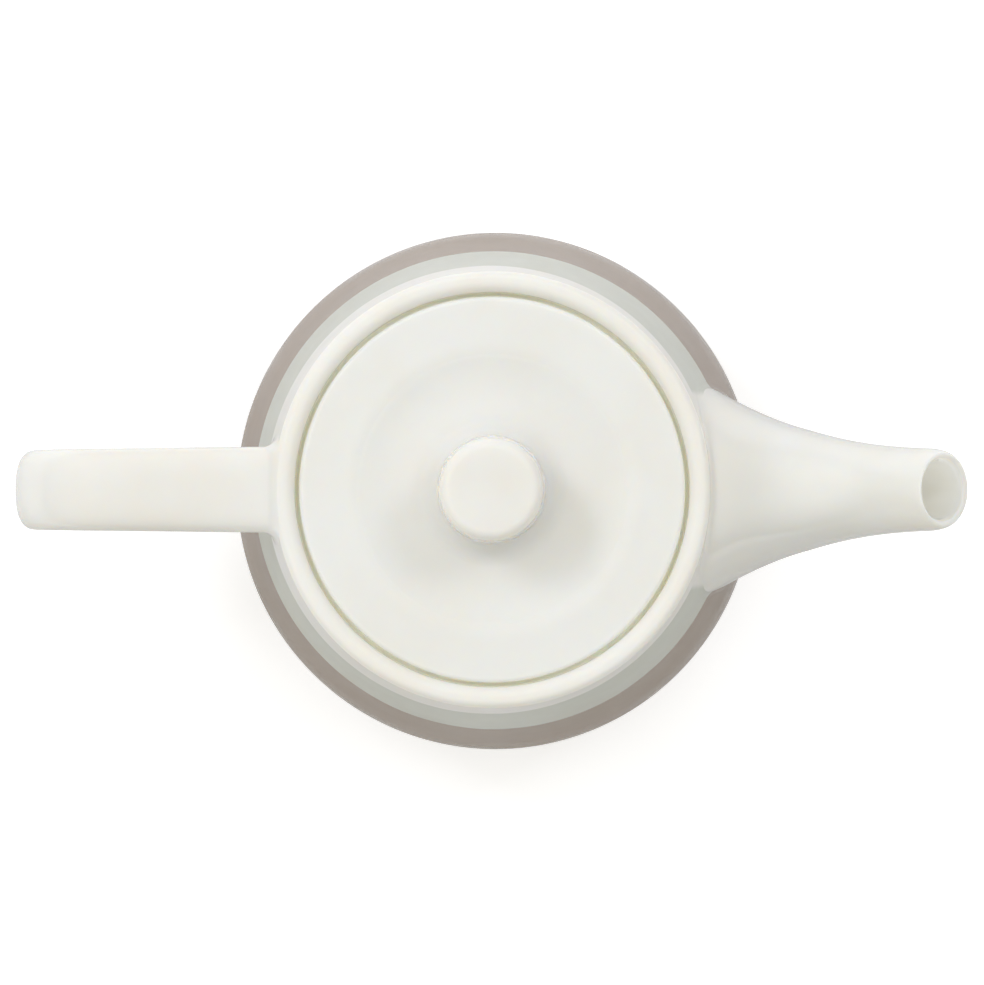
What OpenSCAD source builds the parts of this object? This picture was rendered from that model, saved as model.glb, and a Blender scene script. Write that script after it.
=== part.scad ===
// Porcelain teapot, about 1.1 litres, slip cast and glazed: a pot whose body, spout and strap
// handle were fired as one piece, and a loose lid that rests on a ledge inside the rim.
// The spout points along +X, the handle along -X, and the foot stands on the plane z = 0.

/* [Body] */
// Radius of the body at its widest
belly_r = 68.5; // [64:0.5:74]
// Height of the widest part above the table
belly_z = 33; // [30:0.5:38]
// Radius of the long round above the widest part
side_round = 136; // [110:1:150]
// Radius of the round below the widest part
base_round = 33; // [31:0.5:35]
// Height of the rim
rim_z = 115; // [108:0.5:125]
// Width of the rim, from the bore that the lid sits in to where its side would meet its top
rim_w = 5; // [4.6:0.1:7]
// Thickness of the porcelain in the side
wall = 4.2; // [3.4:0.1:5]
// Round on the rim's outer edge
rim_outer_edge = 2; // [0.8:0.1:2.4]
// Round on the rim's inner edge
rim_inner_edge = 2.8; // [0.8:0.1:3.2]

/* [Foot] */
// Outer radius of the foot ring
foot_r = 49; // [46:0.5:51]
// Width of the foot ring
foot_w = 4.5; // [3.5:0.1:6]
// Depth of the hollow under the base
foot_hollow = 2.4; // [1.6:0.1:3]
// Round on the foot ring's edges
foot_edge = 0.8; // [0.4:0.1:1.2]
// Thickness of the floor
floor_t = 4.6; // [4:0.1:6]

/* [Lid seat] */
// Radius of the bore that the lid sits in
seat_r = 49.6; // [49:0.1:50.2]
// Depth of the ledge below the rim's top
seat_depth = 4.1; // [3.7:0.1:6]
// Width of the ledge
ledge_w = 4.2; // [3.6:0.1:5]
// Thickness of the ledge at its edge
ledge_t = 3.2; // [2.6:0.1:4.5]
// Small rounds inside the seat
seat_edge = 0.8; // [0.4:0.1:0.9]

/* [Lid] */
// Gap between the lid's disc and the bore
lid_gap = 1; // [0.6:0.1:1.4]
// Thickness of the lid at its edge
lid_t = 2.6; // [2.3:0.1:4]
// Radius at which the flat ring ends and the dish starts
dish_r = 37.6; // [34:0.1:40]
// Steepest slope in the dish, in degrees
dish_slope = 17; // [10:0.5:22]
// Radius of the round at the dish's outer edge
dish_edge = 13; // [8:0.5:16]
// Radius of the dish's hollow
dish_round = 38; // [30:1:44]
// Thickness of the lid under the dish
dish_t = 4; // [3.4:0.1:4.6]
// Gap between the lid's skirt and the ledge
skirt_gap = 0.8; // [0.5:0.1:1.2]
// Thickness of the skirt
skirt_t = 3.2; // [2.6:0.1:4]
// Depth of the skirt below the ledge
skirt_depth = 12; // [9:0.5:16]

/* [Knob] */
// Radius of the knob at its top
knob_r = 12.9; // [11:0.1:14]
// Height of the knob above the lid's flat ring
knob_h = 18; // [15:0.5:22]
// Lean of the knob's side from upright, in degrees
knob_lean = 2.5; // [1:0.5:5]
// Round on the knob's top edge
knob_edge = 1.5; // [0.8:0.1:2.5]
// Round where the knob grows out of the dish
knob_foot = 6; // [4:0.5:7]
// Thickness of the knob's wall
knob_wall = 4.4; // [3.6:0.1:5]

/* [Spout] */
// Distance from the axis to the middle of the mouth
mouth_x = 112.8; // [106:0.1:120]
// Height of the middle of the mouth
mouth_z = 114; // [110:0.5:120]
// Radius of the spout outside at the mouth
mouth_r = 10.3; // [9:0.1:12]
// Tilt of the mouth's axis above the level, in degrees
mouth_tilt = 44; // [40:1:54]
// Thickness of the spout at the mouth
spout_t = 2.8; // [2.4:0.1:3.4]
// How much thicker the lower lip is than the lip's sides, and how much thinner the upper lip is
lip_extra = 1.3; // [0:0.1:1.4]
// Length over which the spout's outside rounds in to the lip
lip_round = 4.5; // [2:0.5:5]
// Depth of the spout's top line below the rim where it leaves the body
spout_drop = 1.6; // [1.2:0.1:3]
// Depth of the dip in the spout's top line
spout_dip = 9; // [5:0.5:12]
// Height at which the spout's lower line meets the body
spout_low_z = 38; // [34:0.5:44]
// Half of the spout's width at the body
root_half_w = 26.5; // [22:0.5:28]
// Round where the spout's sides run into the body
spout_flare = 1; // [0:0.5:3]

/* [Strainer] */
// Diameter of each hole
hole_d = 4.6; // [3.6:0.1:5]
// Distance between hole centres
hole_pitch = 9; // [8:0.5:10]
// Rings of holes round the middle one
hole_rings = 2; // [1:1:2]
// Height of the middle hole
strainer_z = 72; // [66:1:78]

/* [Handle] */
// Distance from the axis to the handle's outermost face
handle_reach = 122.4; // [114:0.5:130]
// Depth of the handle's top below the rim
handle_drop = 1.8; // [1.4:0.1:4]
// Radius of the bend at the top, on the handle's middle line
handle_bend = 22; // [18:0.5:26]
// Radius of the bend at the bottom, on the handle's middle line
handle_sweep = 34; // [30:0.5:36]
// Height at which the handle's middle line stops running straight down
handle_drop_z = 74; // [70:0.5:80]
// Slope of the handle's lower end below the level, in degrees
handle_tail = 15; // [5:1:25]
// Width of the handle where it leaves the rim
handle_top_w = 21.8; // [18:0.1:24]
// Width of the handle at the outer end of its top bend
handle_mid_w = 20.4; // [17:0.1:23]
// Width of the handle at its lower end
handle_low_w = 17; // [14:0.1:20]
// Thickness of the handle
handle_t = 10; // [8:0.1:11]
// Round where the handle runs into the body
handle_flare = 2; // [0:0.5:3]

/* [Hidden] */

// The plain glaze, and the two bands round the body, which only change its colour.
glaze = [0.94, 0.93, 0.90];
light_glaze = [0.80, 0.81, 0.77];
dark_glaze = [0.72, 0.66, 0.58];
light_drop = 10;
dark_drop = 33.5;
light_top_z = rim_z - light_drop;
dark_top_z = rim_z - dark_drop;
turn_steps = 120;
eps = 0.01;

function lerp(a, b, t) = a + (b - a) * t;
function flat(lists) = [for (l = lists) each l];
function heading(angle) = [cos(angle), sin(angle)];
function arc(c, r, from, to, steps) =
    [for (i = [0:steps]) c + r * heading(lerp(from, to, i / steps))];
function bezier(p, t) =
    pow(1 - t, 3) * p[0] + 3 * t * pow(1 - t, 2) * p[1] + 3 * t * t * (1 - t) * p[2] + pow(t, 3) * p[3];

// The side is a straight slope, tangent to the long round above the belly and aimed at the rim's
// corner. Its lean from upright follows from where those two are.
rim_r = seat_r + rim_w;
rise = rim_z - belly_z;
slim = belly_r - rim_r;
lean = asin(side_round / norm([rise, side_round - slim])) - atan2(side_round - slim, rise);
side_c = [belly_r - side_round, belly_z];
base_c = [belly_r - base_round, belly_z];
function slope_r(z) = rim_r + (rim_z - z) * tan(lean);
function side_r(z) =
    z >= belly_z + side_round * sin(lean) ? slope_r(z)
    : z >= belly_z ? side_c[0] + sqrt(pow(side_round, 2) - pow(z - belly_z, 2))
    : base_c[0] + sqrt(pow(base_round, 2) - pow(belly_z - z, 2));

// The body's outline from the foot to the rim's top, drawn in from the surface by inset.
foot_turn = acos((foot_r - base_c[0]) / base_round);
function body_side(inset, down) = flat([
    arc(base_c, base_round - inset, -down, 0, 16),
    arc(side_c, side_round - inset, 2, lean, 5)]);
rim_corner = [slope_r(rim_z - rim_outer_edge) - rim_outer_edge / cos(lean), rim_z - rim_outer_edge];
// The inner round takes at most the width that the outer round leaves, and the depth over the seat.
rim_in = min(rim_inner_edge, rim_corner[0] - seat_r - eps, seat_depth - seat_edge - eps);

seat_z = rim_z - seat_depth;
ledge_r = seat_r - ledge_w;
floor_z = foot_hollow + floor_t;
floor_turn = asin((belly_z - floor_z) / (base_round - wall));
// The ledge's underside slopes down to the wall, so that the inside drains and can be cast.
under_slope = 0.8;
under_z = seat_z - ledge_t;
under_w = (slope_r(under_z) - wall / cos(lean) - ledge_r) / (1 - under_slope * tan(lean));

module body_shell() {
    inside = flat([
        arc([seat_r + rim_in, rim_z - rim_in], rim_in, 90, 180, 8),
        arc([seat_r - seat_edge, seat_z + seat_edge], seat_edge, 0, -90, 4),
        arc([ledge_r + seat_edge, seat_z - seat_edge], seat_edge, 90, 180, 4),
        [[ledge_r, under_z], [ledge_r + under_w, under_z - under_slope * under_w]],
        [for (i = [5:-1:1]) side_c + (side_round - wall) * heading(lerp(0, lean, i / 5))],
        arc(base_c, base_round - wall, 0, -floor_turn, 14),
        [[0, floor_z]]]);
    outside = flat([
        [[0, foot_hollow], [foot_r - foot_w - foot_hollow, foot_hollow]],
        arc([foot_r - foot_w + foot_edge, foot_edge], foot_edge, 180, 270, 3),
        arc([foot_r - foot_edge, foot_edge], foot_edge, -90, 0, 3),
        body_side(0, foot_turn),
        arc(rim_corner, rim_outer_edge, lean, 90, 6)]);
    stretches = [[-eps, dark_top_z, dark_glaze], [dark_top_z, light_top_z, light_glaze],
        [light_top_z, rim_z + eps, glaze]];
    for (b = stretches) {
        color(b[2]) rotate_extrude($fn = turn_steps) intersection() {
            polygon(concat(outside, inside));
            translate([0, b[0]]) square([belly_r + eps, b[1] - b[0]]);
        }
    }
}

// A solid of revolution that ends half way through the wall. The spout and the handle are cut
// back to it, so that nothing of them shows inside.
module core() {
    half = wall / 2;
    top_r = min(slope_r(rim_z) - half / cos(lean), rim_r);
    rotate_extrude($fn = turn_steps) polygon(concat(
        [[0, belly_z - base_round + half], [base_c[0], belly_z - base_round + half]],
        [for (i = [1:12]) base_c + (base_round - half) * heading(lerp(-90, 0, i / 12))],
        [for (i = [1:5]) side_c + (side_round - half) * heading(lerp(0, lean, i / 5))],
        [[top_r, rim_z], [top_r, rim_z + seat_depth], [0, rim_z + seat_depth]]));
}

// A closed skin over rings of points that all have the same number of points. Each end is closed
// by a fan of triangles round its middle.
function middle(ring) = [for (k = [0:2]) (min([for (p = ring) p[k]]) + max([for (p = ring) p[k]])) / 2];
module skin(rings) {
    n = len(rings[0]);
    m = len(rings);
    sides = [for (j = [0:m - 2], i = [0:n - 1], half = [0, 1]) let (k = (i + 1) % n)
        half == 0 ? [j * n + i, (j + 1) * n + i, (j + 1) * n + k]
        : [j * n + i, (j + 1) * n + k, j * n + k]];
    ends = [for (i = [0:n - 1], half = [0, 1]) let (k = (i + 1) % n)
        half == 0 ? [m * n, i, k] : [m * n + 1, (m - 1) * n + k, (m - 1) * n + i]];
    polyhedron(concat(flat(rings), [middle(rings[0]), middle(rings[m - 1])]), concat(sides, ends));
}

// A ring of points on a rounded oval: half_h along up, half_w along Y, squarer as power grows.
// Where the ring comes within reach of the body it widens by flare to make the joint's round.
// On top it hardly widens, so that it stays below the rim.
top_widen = 0.15;
function off_body(p) =
    let (r = norm([p[0], p[1]]))
    p[2] > belly_z ? (r - side_r(min(p[2], rim_z))) * cos(lean)
    : norm([r - base_c[0], p[2] - belly_z]) - base_round;
function widen(gap, flare) =
    flare == 0 ? 0 : flare * pow(max(0, 1 - max(gap, -flare) / (2 * flare)), 2);
function place(c, up, h, w) = [c[0] + up[0] * h, w, c[1] + up[1] * h];
function outward(h, w, half_h, half_w, power) =
    let (g = [sign(h) * pow(abs(h) / half_h, power - 1) / half_h,
            sign(w) * pow(abs(w) / half_w, power - 1) / half_w])
    g / norm(g);
function oval(c, up, half_h, half_w, power, flare, steps) =
    [for (i = [0:steps - 1])
        let (a = 360 * i / steps,
            q = pow(pow(abs(cos(a)), power) + pow(abs(sin(a)), power), -1 / power),
            h = half_h * q * sin(a),
            w = half_w * q * cos(a),
            n = outward(h, w, half_h, half_w, power),
            grow = widen(off_body(place(c, up, h, w)), flare) * lerp(1, top_widen, max(0, n[0])))
        place(c, up, h + grow * n[0], w + grow * n[1])];

// The spout's lines in the plane y = 0. The top line leaves the rim level, dips and climbs to the
// mouth. The low line climbs from the body to the mouth. Each ring joins a point of one to a point
// of the other, so the rings turn from upright at the root to square across the mouth.
mouth_along = heading(mouth_tilt);
mouth_up = heading(mouth_tilt + 90);
mouth_c = [mouth_x, mouth_z];
mouth_top = mouth_c + mouth_r * mouth_up;
mouth_low = mouth_c - mouth_r * mouth_up;
root_in = 12;
spout_in = [seat_r - 1, rim_z - spout_drop];
low_in = [side_r(spout_low_z) - root_in, spout_low_z - root_in / 2];
dip = [(spout_in[0] + mouth_top[0]) / 2, spout_in[1] - spout_dip];
dip_at = 0.42;
dip_pull = 11;
mouth_pull = 17;
low_pull = 28;
function top_line(t) =
    t < dip_at ? bezier([spout_in, spout_in + [dip_pull, 0], dip - [dip_pull, 0], dip], t / dip_at)
    : bezier([dip, dip + [dip_pull, 0], mouth_top - mouth_pull * mouth_along, mouth_top],
        (t - dip_at) / (1 - dip_at));
function low_line(t) =
    bezier([low_in, low_in + low_pull * heading(30), mouth_low - low_pull * mouth_along, mouth_low], t);
root_in_w = root_half_w + 2.3;
throat_w = lerp(mouth_r, root_half_w, 0.2);
function spout_half_w(t) = bezier([root_in_w, throat_w, mouth_r * 1.06, mouth_r], t);

// The spout's rings are squarish at the root and round from the throat on. The bore's wall is
// thicker at the root.
spout_steps = 48;
root_power = 3;
root_wall = 1.25;
function spout_ring(t, inset, lift, flare) =
    let (a = top_line(t), b = low_line(t), h = norm(a - b) / 2, up = (a - b) / (2 * h))
    oval((a + b) / 2 + lift * up, up, h - inset, spout_half_w(t) - inset,
        lerp(root_power, 2, min(1, 1.4 * t)), flare, spout_steps);
function mouth_ring(along, inset, lift) =
    oval(mouth_c + along * mouth_along + lift * mouth_up, mouth_up, mouth_r - inset,
        mouth_r - inset, 2, 0, spout_steps);
function lip_ring(a) =
    let (crest = spout_t / 2, along = a < 90 ? lerp(-lip_round, crest, sin(a)) : crest * sin(a))
    mouth_ring(along, crest * (1 - cos(a)), lip_extra * (1 - cos(a)) / 2);
joint_end = 0.18;
lip_start = 1 - lip_round / 40;
module spout() {
    joint = [for (i = [0:12]) spout_ring(joint_end * i / 12, 0, 0, spout_flare)];
    throat = [for (i = [1:16]) spout_ring(lerp(joint_end, lip_start, i / 17), 0, 0, spout_flare)];
    lip = [for (a = [0:20:180]) lip_ring(a)];
    bore = [for (t = [0.95:-0.05:0]) spout_ring(t, spout_t * lerp(root_wall, 1, t), lip_extra * t, 0)];
    difference() {
        skin(concat(joint, throat, lip, bore));
        core();
    }
}

// The handle's middle line: out from the rim, round the top bend, down, round the bottom bend and
// back to the body. Each row holds a point, the line's heading and how far along the handle it is,
// from 0 at the rim to 1 at the lower end. Rows crowd together at both joints.
handle_x = handle_reach - handle_t / 2;
handle_top_z = rim_z - handle_drop - handle_t / 2;
bend_c = [-handle_x + handle_bend, handle_top_z - handle_bend];
sweep_c = [-handle_x + handle_sweep, handle_drop_z];
tail_turn = 90 - handle_tail;
tail_along = heading(-handle_tail);
tail_from = sweep_c + handle_sweep * heading(180 + tail_turn);
tail_len = (-tail_from[0] - belly_r + wall + handle_t / 2) / cos(handle_tail);
top_in = [5 - seat_r, handle_top_z];
top_joint = [3 - rim_r, handle_top_z];
joint_len = 12;
function handle_rows() = concat(
    [[top_in, 180, 0]],
    [for (i = [0:12]) [top_joint - [joint_len * i / 12, 0], 180, 0.2 * i / 12]],
    [for (i = [1:3]) [lerp(top_joint - [joint_len, 0], bend_c + [0, handle_bend], i / 4), 180,
        lerp(0.2, 0.35, i / 4)]],
    [for (i = [0:11]) [bend_c + handle_bend * heading(90 + 90 * i / 11), 180 + 90 * i / 11,
        lerp(0.35, 0.55, i / 11)]],
    [for (i = [0:11]) [sweep_c + handle_sweep * heading(180 + tail_turn * i / 11),
        270 + tail_turn * i / 11, lerp(0.6, 0.85, i / 11)]],
    [[tail_from + (tail_len - joint_len) / 2 * tail_along, -handle_tail, 0.92]],
    [for (i = [0:12]) [tail_from + (tail_len - joint_len + joint_len * i / 12) * tail_along,
        -handle_tail, 1]]);
function handle_w(t) =
    t < 0.5 ? lerp(handle_top_w, handle_mid_w, 2 * t)
    : lerp(handle_mid_w, handle_low_w, 2 * t - 1);

// The strap is flat on top, with soft edges, and gets rounder from the bend on.
handle_steps = 36;
flat_power = 3.4;
round_power = 2.5;
module handle() {
    rows = handle_rows();
    rings = [for (i = [len(rows) - 1:-1:0]) let (row = rows[i])
        oval(row[0], heading(row[1] - 90), handle_t / 2, handle_w(row[2]) / 2,
            lerp(flat_power, round_power, min(1, 2 * row[2])), handle_flare, handle_steps)];
    difference() {
        skin(rings);
        core();
    }
}

// The strainer: holes through the body's side behind the spout, in rings of six.
function strainer_spots() = [for (i = [-hole_rings:hole_rings], j = [-hole_rings:hole_rings])
    if (abs(i + j) <= hole_rings) [hole_pitch * (i + j / 2), hole_pitch * j * sqrt(3) / 2]];
module strainer_holes() {
    for (p = strainer_spots()) {
        translate([side_r(strainer_z + p[0]) - 3 * wall, p[1], strainer_z + p[0]])
            rotate([0, 90, 0]) cylinder(d = hole_d, h = 4 * wall, $fn = 32);
    }
}

module pot() {
    difference() {
        body_shell();
        strainer_holes();
    }
    color(glaze) spout();
    color(glaze) handle();
}

// The lid: a disc with a flat ring, a dish and a hollow knob, over a skirt that hangs inside the
// ledge. The disc rests on the ledge.
lid_r = seat_r - lid_gap;
lid_top_z = seat_z + lid_t;
lid_edge_top = 1.2;
lid_edge_low = 0.8;
skirt_edge = 0.8;
skirt_corner = 0.5;
skirt_r = ledge_r - skirt_gap;
skirt_in_r = skirt_r - skirt_t;
skirt_z = seat_z - ledge_t - skirt_depth;
dish_low_r = dish_r - (dish_edge + dish_round) * sin(dish_slope);
dish_depth = (dish_edge + dish_round) * (1 - cos(dish_slope));
dish_z = lid_top_z - dish_depth;
dish_under_z = dish_z - dish_t;
knob_top_z = lid_top_z + knob_h;
knob_foot_z = dish_z + knob_foot;
knob_foot_r = knob_r + (knob_top_z - knob_foot_z) * tan(knob_lean) + knob_foot;
hollow_r = knob_r - knob_wall;
hollow_edge = 2;
hollow_z = knob_top_z - knob_wall;
under_edge = 2;
module lid() {
    outside = flat([
        [[skirt_in_r, skirt_z]],
        arc([skirt_r - skirt_edge, skirt_z + skirt_edge], skirt_edge, -90, 0, 3),
        arc([skirt_r + skirt_corner, seat_z - skirt_corner], skirt_corner, 180, 90, 3),
        arc([lid_r - lid_edge_low, seat_z + lid_edge_low], lid_edge_low, -90, 0, 4),
        arc([lid_r - lid_edge_top, lid_top_z - lid_edge_top], lid_edge_top, 0, 90, 6),
        arc([dish_r, lid_top_z - dish_edge], dish_edge, 90, 90 + dish_slope, 5),
        arc([dish_low_r, dish_z + dish_round], dish_round, dish_slope - 90, -90, 5),
        arc([knob_foot_r, knob_foot_z], knob_foot, 270, 180 - knob_lean, 8),
        arc([knob_r - knob_edge, knob_top_z - knob_edge], knob_edge, -knob_lean, 90, 6),
        [[0, knob_top_z]]]);
    inside = flat([
        [[0, hollow_z]],
        arc([hollow_r - hollow_edge, hollow_z - hollow_edge], hollow_edge, 90, 0, 4),
        arc([hollow_r + knob_foot, dish_under_z + knob_foot], knob_foot, 180, 270, 6),
        [[dish_low_r, dish_under_z]],
        arc([skirt_in_r - under_edge, seat_z - under_edge], under_edge, 90, 0, 4)]);
    color(glaze) rotate_extrude($fn = turn_steps) polygon(concat(outside, inside));
}

pot();
lid();
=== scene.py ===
"""Porcelain teapot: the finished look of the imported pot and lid, for Blender 4.5.

The pot is one fired piece: a turned body, a lofted spout with its bore, lip and pierced strainer,
and a strap handle, joined with soft rounds. The lid is turned and rests on the ledge in the rim.
Shapes are in millimetres in the frame's axes, and a mesh is scaled to metres when it is made.
Light, stage and camera are in metres.
"""

import math

import bmesh
import bpy
import numpy as np
from mathutils import Matrix, Vector


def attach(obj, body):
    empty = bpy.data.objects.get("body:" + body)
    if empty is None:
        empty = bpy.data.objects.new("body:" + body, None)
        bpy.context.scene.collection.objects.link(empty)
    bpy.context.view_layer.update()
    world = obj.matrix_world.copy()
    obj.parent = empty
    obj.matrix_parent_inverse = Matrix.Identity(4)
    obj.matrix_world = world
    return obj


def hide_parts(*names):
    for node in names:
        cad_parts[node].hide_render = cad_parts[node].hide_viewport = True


MM = 0.001

# Body
BELLY_R = 68.5
BELLY_Z = 33
SIDE_ROUND = 136
BASE_ROUND = 33
RIM_Z = 115
RIM_W = 5
WALL = 4.2
RIM_OUTER_EDGE = 2
RIM_INNER_EDGE = 2.8

# Foot and floor
FOOT_R = 49
FOOT_W = 4.5
FOOT_HOLLOW = 2.4
FOOT_EDGE = 0.8
FLOOR_T = 4.6

# Lid seat
SEAT_R = 49.6
SEAT_DEPTH = 4.1
LEDGE_W = 4.2
LEDGE_T = 3.2
SEAT_EDGE = 0.8
UNDER_SLOPE = 0.8

# Lid
LID_GAP = 1
LID_T = 2.6
LID_EDGE_TOP = 1.2
LID_EDGE_LOW = 0.8
DISH_R = 37.6
DISH_SLOPE = 17
DISH_EDGE = 13
DISH_ROUND = 38
DISH_T = 4
SKIRT_GAP = 0.8
SKIRT_T = 3.2
SKIRT_DEPTH = 12
SKIRT_EDGE = 0.8
SKIRT_CORNER = 0.5
UNDER_EDGE = 2

# Knob
KNOB_R = 12.9
KNOB_H = 18
KNOB_LEAN = 2.5
KNOB_EDGE = 2.8
KNOB_FOOT = 6
KNOB_WALL = 4.4
HOLLOW_EDGE = 2

# Spout: its mouth, lip and wall
MOUTH = np.array([112.8, 114.0])
MOUTH_R = 10.3
MOUTH_TILT = 44
SPOUT_T = 2.8
LIP_EXTRA = 1.3
LIP_ROUND = 4.5

# Spout: its top line from inside the seat's edge, through a dip, to the mouth
TOP_IN = 1
SPOUT_DROP = 1.6
SPOUT_DIP = 9
DIP_AT = 0.42
DIP_PULL = 11
MOUTH_PULL = 17

# Spout: its low line, its widths, and how square and thick it is at its root
SPOUT_LOW_Z = 38
LOW_ANGLE = 30
LOW_PULL = 28
ROOT_IN = 12
ROOT_HALF_W = 26.5
ROOT_EXTRA_W = 2.3
THROAT_SHARE = 0.2
MOUTH_SWELL = 1.06
ROOT_POWER = 3
ROOT_WALL = 1.25
ROUND_FROM = 1.4
BORE_SUNK = 1.5

# Strainer
HOLE_D = 4.6
HOLE_PITCH = 9
HOLE_RINGS = 2
STRAINER_Z = 72

# Handle
HANDLE_REACH = 122.4
HANDLE_DROP = 1.8
HANDLE_BEND = 22
HANDLE_SWEEP = 34
HANDLE_DROP_Z = 74
HANDLE_TAIL = 15
HANDLE_TOP_W = 21.8
HANDLE_MID_W = 20.4
HANDLE_LOW_W = 17
HANDLE_T = 10
HANDLE_IN = 5
HANDLE_RIM_IN = 3
FLAT_POWER = 3.4
ROUND_POWER = 2.5

# How far along the handle each stretch of its path starts and ends, from 0 to 1
HANDLE_SHARES = (0, 0, 0.35, 0.55, 0.6, 0.85, 1)

# Rounds where the spout and the handle run into the body
SPOUT_JOINT = 1.3
HANDLE_JOINT = 3.2
RIM_MARGIN = 0.4
JOINT_PULL = 0.56

# The first rows of such a round lie this far past its foot and this far below the body's surface
JOINT_SUNK = ((0.9, 1.9), (0.9, 0.5), (0.4, 0.03))

# Steps round each shape, and rows along it
TURN_STEPS = 320
SPOUT_STEPS = 96
SPOUT_ROWS = 64
LIP_OUT_ROWS = 14
LIP_IN_ROWS = 12
BORE_ROWS = 40
HANDLE_STEPS = 80
HANDLE_ROWS = 100
JOINT_ROWS = 9
HOLE_STEPS = 32
LINE_SAMPLES = 900
PATH_STEP = 0.25

# Steps over each round of the turned outlines
EDGE_STEPS = 6
CORNER_STEPS = 5
ROUND_STEPS = 10
BASE_STEPS = 30
SIDE_STEPS = 14
INNER_BASE_STEPS = 20
INNER_SIDE_STEPS = 8
RIM_OUTER_STEPS = 12
RIM_INNER_STEPS = 14
DISH_EDGE_STEPS = 8
KNOB_FOOT_STEPS = 16
KNOB_EDGE_STEPS = 12

# The finishes, numbered as the pot's materials are. The last two are the white glaze with painted bounce
# light: a brighter, warmer white in the spout's bore and in the gap round the lid
GLAZE, BANDS, BARE, LIT_BORE, LIT_GAP = range(5)

# Where a finish ends: the bare foot's height, the lip's rows inside the mouth that keep the plain glaze
# before the bore's painted light, and the gap's painted light below the tops of rim and lid and out from
# the skirt
BARE_Z = 0.3
LIP_GLAZED = 4
GAP_UNDER_RIM = 0.9 * RIM_INNER_EDGE
GAP_UNDER_LID = 0.6 * LID_EDGE_TOP
GAP_OFF_SKIRT = 1

# Glaze bands, measured down from the rim: their edges are soft and wander, and the light one tilts
LIGHT_DROP = 10
DARK_DROP = 33.5
LIGHT_TILT = 0.06
BAND_SOFT = 0.45
BAND_WANDER = 0.25

# The rim's white runs down into the spout's root: each middle of its edge, and half its softness
ROOT_WHITE_X = (25, 5)
ROOT_WHITE_Y = (24.6, 1)
ROOT_WHITE_Z = (92, 2)

# Colours of the glazes and of the bare foot, each a pair for the two ends of its patches. The bore's and
# the gap's whites are painted bounce light, brighter and warmer than the glaze's
WHITES = ((0.835, 0.815, 0.760, 1), (0.850, 0.842, 0.805, 1))
LIGHTS = ((0.560, 0.570, 0.485, 1), (0.580, 0.595, 0.520, 1))
DARKS = ((0.250, 0.160, 0.085, 1), (0.265, 0.175, 0.100, 1))
BORE_PAINTED_LIGHT = ((0.99, 0.935, 0.64, 1), (0.99, 0.945, 0.67, 1))
GAP_PAINTED_LIGHT = ((0.985, 0.955, 0.79, 1), (0.99, 0.96, 0.81, 1))
CLAYS = ((0.80, 0.76, 0.69, 1), (0.72, 0.67, 0.60, 1))

# How deep light goes into the porcelain, in metres, and how far each of its colours does
GLAZE_DEPTH = 0.003
BORE_DEPTH = 0.08
GAP_DEPTH = 0.001
SCATTER = (1.0, 0.85, 0.65)

# The glaze's gloss and the bare foot's
GLAZE_IOR = 1.5
GLAZE_ROUGHNESS = (0.11, 0.17)
BARE_ROUGHNESS = (0.55, 0.8)

# Noise for each unevenness: waves to a metre, and detail
CLOUD = (30, 3.0)
STREAK = (55, 4.0)
WANDER = (90, 2.0)
SWELL = (26, 1.0)
PEEL = (520, 2.0)
SHEEN = (70, 3.0)
GRAIN = (1500, 4.0)
WEAR = (160, 3.0)

# Bumps: height in metres, and strength
SWELL_BUMP = (0.0012, 0.10)
PEEL_BUMP = (0.00006, 0.12)
GRAIN_BUMP = (0.00008, 0.5)

# Floor. Its glow leaves out reflections in a circle in front of the pot, and fades in round it
FLOOR_HALF = 3.0
FLOOR_WHITE = (0.80, 0.80, 0.80, 1)
FLOOR_ROUGHNESS = 0.9
FLOOR_GLOW = 0.50
SHADE_AT = Vector((0, -0.2, 0))
SHADE_R = 0.24
SHADE_FADE = 1.6

# Sky: its even level, what it gains in one direction, and its tint
SKY_EVEN = 0.325
SKY_LEAN = 0.69
SKY_TOWARDS = Vector((-0.24, 0.09, 0.93))
SKY_TINT = (1.0, 0.995, 0.945, 1)
PLAIN_WHITE = (1, 1, 1, 1)

# Soft lights: name, place, width and power
LAMPS = (
    ("left", (-1.34, 1.05, 1.75), 0.7, 12),
    ("right", (1.34, 1.05, 1.75), 0.7, 9.5),
    ("back", (0, 1.9, 0.9), 1.4, 1.2),
)
LAMP_AIM = Vector((0, 0, 0.06))
LAMP_TINT = (0.95, 0.985, 1.12)

# Camera
CAMERA_AT = Vector((16, -6.8, 1500)) * MM
CAMERA_AIM = Vector((-1.3, -0.25, 0)) * MM
LENS = 201.7
SENSOR_W = 36


def lerp(a, b, t):
    return a + (b - a) * t


def unit(v):
    return v / np.linalg.norm(v, axis=-1, keepdims=True)


def heading(degrees):
    """Unit vectors in a plane at these angles."""
    a = np.radians(degrees)
    return np.stack([np.cos(a), np.sin(a)], axis=-1)


def arc(centre, radius, start, end, steps):
    """Points of a circle from one angle to another."""
    return list(np.asarray(centre) + radius * heading(np.linspace(start, end, steps + 1)))


def bezier(p, t):
    """A cubic curve through scalars or points, at each value of t."""
    t = np.reshape(t, np.shape(t) + (1,) * np.ndim(p[0]))
    return (1 - t) ** 3 * p[0] + 3 * t * (1 - t) ** 2 * p[1] + 3 * t**2 * (1 - t) * p[2] + t**3 * p[3]


# The body's outline

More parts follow.
